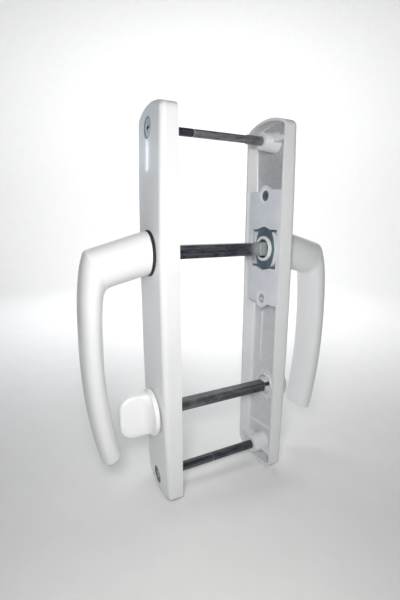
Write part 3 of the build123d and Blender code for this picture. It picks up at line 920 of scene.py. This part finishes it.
def spline(points, place_at):
    """Point of a cubic B-spline that starts and ends on its first and last points."""
    last = len(points) - 1
    index = min(int(place_at), last - 1)
    share = place_at - index
    weights = (
        (1 - share) ** 3 / 6,
        (3 * share**3 - 6 * share**2 + 4) / 6,
        (-3 * share**3 + 3 * share**2 + 3 * share + 1) / 6,
        share**3 / 6,
    )
    before = [2 * first - second for first, second in zip(points[0], points[1])]
    beyond = [2 * first - second for first, second in zip(points[-1], points[-2])]
    padded = [before, *points, beyond]
    near = padded[index:index + 4]
    return [sum(weight * value for weight, value in zip(weights, values)) for values in zip(*near)]


def oval(centre, reach, span, exponent, sides=LEVER_SIDES):
    """Ring of points (x, depth, z): reach to each side in X, span is its half in depth and z."""
    ring = []
    for index in range(sides):
        angle = 2 * math.pi * index / sides
        across, along = math.cos(angle), math.sin(angle)
        size = (abs(across) ** exponent + abs(along) ** exponent) ** (-1 / exponent)
        ring.append((
            reach * across * size,
            centre[0] + span[0] * along * size,
            centre[1] + span[1] * along * size,
        ))
    return ring


def round_rings(rows):
    """Round rings about the spindle's axis from (depth, radius) rows."""
    return [oval((depth, 0.0), radius, (0.0, radius), ROUND) for depth, radius in rows]


def set_out(rings, side, height=0.0):
    """Rings in a plate's own millimetres, put in place on the inside (-1) or outside (1)."""
    return [
        [(x * MM, side * (PLATE_RIM + depth * MM), height + z * MM) for x, depth, z in ring]
        for ring in rings
    ]


def square_hole(side, width, start, end, height=0.0):
    """Square cutter along the depth."""
    half = width / 2
    corners = ((-half, -half), (half, -half), (half, half), (-half, half))
    rings = [[(x, depth, z) for x, z in corners] for depth in (start, end)]
    return loft(set_out(rings, side, height))


def set_screw_hole(side):
    """Round cutter from outside a lever's neck on its -X side to the spindle's axis."""
    rings = []
    for x in (SET_SCREW_HOLE_FROM, 0.0):
        ring = []
        for index in range(SET_SCREW_HOLE_SIDES):
            angle = 2 * math.pi * index / SET_SCREW_HOLE_SIDES
            depth = SET_SCREW_HOLE_DEPTH + SET_SCREW_HOLE_RADIUS * math.cos(angle)
            ring.append((x, depth, SET_SCREW_HOLE_RADIUS * math.sin(angle)))
        rings.append(ring)
    return loft(set_out(rings, side))


def lever_spigot():
    """Rings from the recess's floor out round the mouth and along the spigot to the neck's end."""
    outer, recess, edge = SPIGOT_RADIUS, SPIGOT_RECESS_RADIUS, SPIGOT_EDGE
    groove_start, groove_end = RING_GROOVE
    return round_rings([
        (SPIGOT_RECESS_END, recess), (SPIGOT_MOUTH + edge, recess), (SPIGOT_MOUTH, recess + edge),
        (SPIGOT_MOUTH, outer - edge), (SPIGOT_MOUTH + edge, outer), (groove_start, outer),
        (groove_start, RING_GROOVE_RADIUS), (groove_end, RING_GROOVE_RADIUS), (groove_end, outer),
        (NECK_START, outer), (NECK_START, NECK_RADIUS - NECK_EDGE),
        (NECK_START + NECK_EDGE_DEPTH, NECK_RADIUS),
    ])


def lever_tip(centre, reach, span):
    """Rings past a lever's last section: a rounded edge, then a slightly crowned end."""
    length = math.hypot(*span)
    run = (span[1] / length, -span[0] / length)
    rings = []
    for step in range(1, ROUND_STEPS + 1):
        angle = math.pi / 2 * step / ROUND_STEPS
        loss = LEVER_TIP_ROUND * (1 - math.cos(angle))
        ahead = LEVER_TIP_ROUND * math.sin(angle)
        small = (length - loss) / length
        rings.append(oval(
            (centre[0] + run[0] * ahead, centre[1] + run[1] * ahead),
            reach - loss, (span[0] * small, span[1] * small), LEVER_GRIP_OVAL,
        ))
    for size in LEVER_TIP_RINGS:
        ahead = LEVER_TIP_ROUND + LEVER_TIP_CROWN * (1 - size * size)
        rings.append(oval(
            (centre[0] + run[0] * ahead, centre[1] + run[1] * ahead),
            (reach - loss) * size, (span[0] * small * size, span[1] * small * size), LEVER_GRIP_OVAL,
        ))
    return rings


def lever(node, side, material):
    """Lever: recessed spigot with a ring groove, round neck, tight elbow, oval grip, rounded tip."""
    face = SPINDLE_FACE / MM
    rings = lever_spigot()
    points = [(*top, *bottom, half_width) for top, bottom, half_width in LEVER_PAIRS]
    last = len(points) - 1
    count = last * LEVER_RINGS_PER_PAIR
    squarer_from, squarer_to = LEVER_SQUARER
    for step in range(count + 1):
        share = step / count
        top_out, top_z, bottom_out, bottom_z, reach = spline(points, last * share)
        centre = (face + (top_out + bottom_out) / 2, (top_z + bottom_z) / 2)
        span = ((top_out - bottom_out) / 2, (top_z - bottom_z) / 2)
        squarer = max(0.0, min(1.0, (share - squarer_from) / (squarer_to - squarer_from)))
        rings.append(oval(centre, reach, span, ROUND + (LEVER_GRIP_OVAL - ROUND) * squarer))
    rings += lever_tip(centre, reach, span)
    mesh = loft(set_out(rings, side))
    mesh = cut(mesh, square_hole(side, LEVER_SOCKET, LEVER_SOCKET_START, LEVER_SOCKET_END))
    mesh = cut(mesh, set_screw_hole(side))
    stand_for(joined_piece(node + "_smooth", [(mesh, Matrix.Identity(4))], material), node)


def neck_bush(node, side, material):
    """Bush whose sleeve goes through the plate and whose thin collar shows round the neck."""
    low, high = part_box(node)
    start = (min(abs(low[1]), abs(high[1])) - PLATE_RIM) / MM
    face = BUSH_SEAT + BUSH_COLLAR_THICKNESS
    collar, sleeve, bore = BUSH_COLLAR_RADIUS, BUSH_SLEEVE_RADIUS, BUSH_BORE_RADIUS
    edge = BUSH_COLLAR_EDGE
    rings = round_rings([
        (start, bore), (start, sleeve), (BUSH_SEAT, sleeve), (BUSH_SEAT, collar),
        (face - edge, collar), (face, collar - edge), (face, bore),
    ])
    placed = [(loft(set_out(rings, side), tube=True), Matrix.Identity(4))]
    stand_for(joined_piece(node + "_smooth", placed, material), node)


def paddle_half_thickness(depth):
    """Half the thumbturn's thickness at a depth: a slow taper, then a rounded tip edge."""
    root, tip = TURN_HALF_THICKNESS
    half = root + (tip - root) * (depth - TURN_FLARE_END) / (TURN_TIP - TURN_FLARE_END)
    past = depth - (TURN_TIP - TURN_TIP_EDGE)
    if past > 0:
        half += math.sqrt(max(0.0, TURN_TIP_EDGE**2 - past**2)) - TURN_TIP_EDGE
    return half


def thumbturn_base():
    """Rows (depth, half thickness, half height, exponent) of the hub and the round base."""
    hub_start, base_start, hub_radius = TURN_HUB
    bevel, edge, base = TURN_BEVEL, TURN_EDGE, TURN_BASE_RADIUS
    rows = [
        (hub_start, hub_radius - bevel), (hub_start + bevel, hub_radius), (base_start, hub_radius),
        (base_start, base - bevel), (base_start + bevel, base), (TURN_BASE_FACE - edge, base),
    ]
    for step in range(1, ROUND_STEPS + 1):
        angle = math.pi / 2 * step / ROUND_STEPS
        rows.append((
            TURN_BASE_FACE - edge * (1 - math.sin(angle)), base - edge * (1 - math.cos(angle)),
        ))
    return [(depth, radius, radius, ROUND) for depth, radius in rows]


def thumbturn_paddle():
    """Rows of the curve from the base into the paddle, and of the paddle with its round corners."""
    rows = []
    wide = TURN_BASE_RADIUS - TURN_EDGE
    root = TURN_HALF_THICKNESS[0]
    quarter = [math.pi / 2 * step / (3 * ROUND_STEPS) for step in range(1, 3 * ROUND_STEPS + 1)]
    for angle in quarter:
        along, inward = 1 - math.cos(angle), math.sin(angle)
        rows.append((
            TURN_BASE_FACE + (TURN_FLARE_END - TURN_BASE_FACE) * along,
            wide + (root - wide) * inward,
            wide + (TURN_HALF_HEIGHT - wide) * inward,
            ROUND + (TURN_OVAL - ROUND) * along,
        ))
    corner_start = TURN_TIP - TURN_CORNER
    for share in TURN_FLAT_RINGS:
        depth = TURN_FLARE_END + (corner_start - TURN_FLARE_END) * share
        rows.append((depth, paddle_half_thickness(depth), TURN_HALF_HEIGHT, TURN_OVAL))
    for angle in quarter:
        depth = corner_start + TURN_CORNER * math.sin(angle)
        half_height = TURN_HALF_HEIGHT - TURN_CORNER * (1 - math.cos(angle))
        rows.append((depth, paddle_half_thickness(depth), half_height, TURN_OVAL))
    return rows


def thumbturn(material):
    """Round base whose face flows in one curve into a flat paddle with rounded corners."""
    rings = [
        oval((depth, 0.0), half_thickness, (0.0, half_height), exponent, TURN_SIDES)
        for depth, half_thickness, half_height, exponent in thumbturn_base() + thumbturn_paddle()
    ]
    mesh = loft(set_out(rings, -1, PRIVACY_HEIGHT))
    socket = square_hole(-1, TURN_SOCKET, TURN_SOCKET_START, TURN_SOCKET_END, PRIVACY_HEIGHT)
    placed = [(cut(mesh, socket), Matrix.Identity(4))]
    stand_for(joined_piece("thumbturn_smooth", placed, material), "thumbturn")


def spindle_outline(half, groove):
    """Corners (x, z) of the chamfered square, with a groove of some depth in each X side."""
    rim = half - SPINDLE_CHAMFER
    lip = SPINDLE_GROOVE_HALF_HEIGHT
    right = [(rim, -half), (half, -rim), (half, -lip), (half - groove, -lip)]
    right += [(x, -z) for x, z in reversed(right)]
    return right + [(-x, -z) for x, z in right]


def lever_spindle(material):
    """Square bar with chamfered edges and ends, and a groove along part of each X side."""
    half, end, chamfer = SPINDLE_HALF_SIDE, SPINDLE_HALF_LENGTH, SPINDLE_CHAMFER
    groove, none = SPINDLE_GROOVE_DEPTH, SPINDLE_NO_GROOVE
    rows = [
        (-end, half - chamfer, groove - chamfer), (chamfer - end, half, groove),
        (SPINDLE_GROOVE_END - SPINDLE_GROOVE_RUNOUT, half, groove), (SPINDLE_GROOVE_END, half, none),
        (end - chamfer, half, none), (end, half - chamfer, none),
    ]
    rings = [
        [(x * MM, along * MM, z * MM) for x, z in spindle_outline(size, depth)]
        for along, size, depth in rows
    ]
    placed = [(loft(rings), Matrix.Identity(4))]
    stand_for(joined_piece("lever_spindle_grooved", placed, material), "lever_spindle")


def stage_paper():
    """Pale near and behind the object, and grey on the camera's side and to its left."""
    material, tree, shader = new_material("stage_paper")
    tooth = noise(tree, place(tree), 60.0)
    paper = two_tone(tree, tooth, (0.86, 0.86, 0.86), (0.88, 0.88, 0.88))
    screen = two_tone(tree, tooth, (0.27, 0.30, 0.33), (0.30, 0.33, 0.36))
    x, y, _ = axes(tree)
    masks = []
    for azimuth, fade in ((CAMERA_TURN + 90, PAPER_FADE), (PAPER_SIDE, PAPER_SIDE_FADE)):
        turn = math.radians(azimuth)
        along = total(tree, product(tree, x, math.cos(turn)), product(tree, y, math.sin(turn)))
        masks.append(rises(tree, along, *fade))
    radius_square = total(tree, product(tree, x, x), product(tree, y, y))
    near = falls(tree, radius_square, *NEAR_FLOOR_FADE)
    pale = math_node(tree, "MAXIMUM", near, product(tree, *masks))
    tree.links.new(mix_colour(tree, pale, screen, paper), shader.inputs["Base Color"])
    shader.inputs["Roughness"].default_value = PAPER_ROUGH
    return material


def stage():
    """Round floor that bends up into a wall."""
    low = cad_box[0][2] - FLOOR_GAP
    profile = [(FLOOR_RADIUS * step / FLOOR_STEPS, low) for step in range(1, FLOOR_STEPS + 1)]
    for step in range(1, COVE_STEPS + 1):
        angle = math.pi / 2 * step / COVE_STEPS
        profile.append((
            FLOOR_RADIUS + COVE_BEND * math.sin(angle),
            low + COVE_BEND * (1 - math.cos(angle)),
        ))
    profile.append((FLOOR_RADIUS + COVE_BEND, low + COVE_HEIGHT))
    vertices = [(0.0, 0.0, low)]
    faces = []
    for ring, (radius, height) in enumerate(profile):
        start = 1 + ring * COVE_SIDES
        below = start - COVE_SIDES
        for index in range(COVE_SIDES):
            angle = 2 * math.pi * index / COVE_SIDES
            after = (index + 1) % COVE_SIDES
            vertices.append((radius * math.cos(angle), radius * math.sin(angle), height))
            if ring == 0:
                faces.append((0, start + index, start + after))
            else:
                faces.append((below + index, start + index, start + after, below + after))
    mesh = bpy.data.meshes.new("stage")
    mesh.from_pydata(vertices, [], faces)
    mesh.polygons.foreach_set("use_smooth", [True] * len(faces))
    mesh.materials.append(stage_paper())
    cove = bpy.data.objects.new("stage", mesh)
    bpy.context.scene.collection.objects.link(cove)


def soft_light(name, place_at, aim, size, power, colour):
    """Area light aimed at a point."""
    light = bpy.data.lights.new(name, "AREA")
    light.shape = "RECTANGLE"
    light.size, light.size_y = size
    light.energy = power
    light.color = colour
    lamp = bpy.data.objects.new(name, light)
    lamp.location = place_at
    direction = Vector(aim) - Vector(place_at)
    lamp.rotation_euler = direction.to_track_quat("-Z", "Y").to_euler()
    bpy.context.scene.collection.objects.link(lamp)


def around(azimuth, elevation, far, aim):
    """A place some way from aim, azimuth counted from +X towards +Y."""
    turn, lift = math.radians(azimuth), math.radians(elevation)
    way = Vector((math.cos(lift) * math.cos(turn), math.cos(lift) * math.sin(turn), math.sin(lift)))
    return Vector(aim) + way * far


def lights():
    """Key light beside the camera as in the photo, soft fills, and two washes on the stage."""
    soft_light("key", *KEY)
    for name, (azimuth, elevation, power, colour) in FILLS.items():
        fill_place = around(azimuth, elevation, FILL_DISTANCE, LIGHT_AIM)
        soft_light(name, fill_place, LIGHT_AIM, FILL_SIZE, power, colour)
    soft_light("window", *WINDOW)
    soft_light("wash", *WALL_WASH)
    soft_light("floor_wash", *FLOOR_WASH)
    world = bpy.data.worlds.new("studio")
    world.use_nodes = True
    background = world.node_tree.nodes["Background"]
    background.inputs["Color"].default_value = (*WHITE, 1)
    background.inputs["Strength"].default_value = WORLD_STRENGTH
    bpy.context.scene.world = world


def camera():
    """Camera at the photo's place and angle."""
    data = bpy.data.cameras.new("photo_camera")
    data.sensor_width = CAMERA_SENSOR_MM
    data.lens = CAMERA_LENS_MM
    data.clip_start = CAMERA_NEAREST
    eye = bpy.data.objects.new("photo_camera", data)
    eye.location = CAMERA_PLACE
    eye.rotation_euler = (math.radians(90 - CAMERA_PITCH_DOWN), 0, math.radians(CAMERA_TURN))
    bpy.context.scene.collection.objects.link(eye)
    bpy.context.scene.camera = eye


materials = make_materials()
finish_nodes(materials)
tie_screw("top_tie_screw", TOP_BOLT)
tie_screw("bottom_tie_screw", BOTTOM_BOLT)
bearing_steel = bearing_screw_steel()
handle_coat = lever_coat()
for side, way in (("inside", -1), ("outside", 1)):
    bearing_screws(side + "_bearing_screws", bearing_steel)
    set_screw(side + "_lever_set_screw", materials["black_steel"])
    lever(side + "_lever", way, handle_coat)
    neck_bush(side + "_neck_bush", way, materials["black_nylon"])
# The thumbturn gets the white coat in lighter tones, as painted light.
thumbturn(white_coat("thumbturn_lit_coat", THUMBTURN_LIT_TONES))
lever_spindle(materials["dark_steel"])
stage()
lights()
camera()
bpy.context.scene.view_settings.view_transform = "Standard"
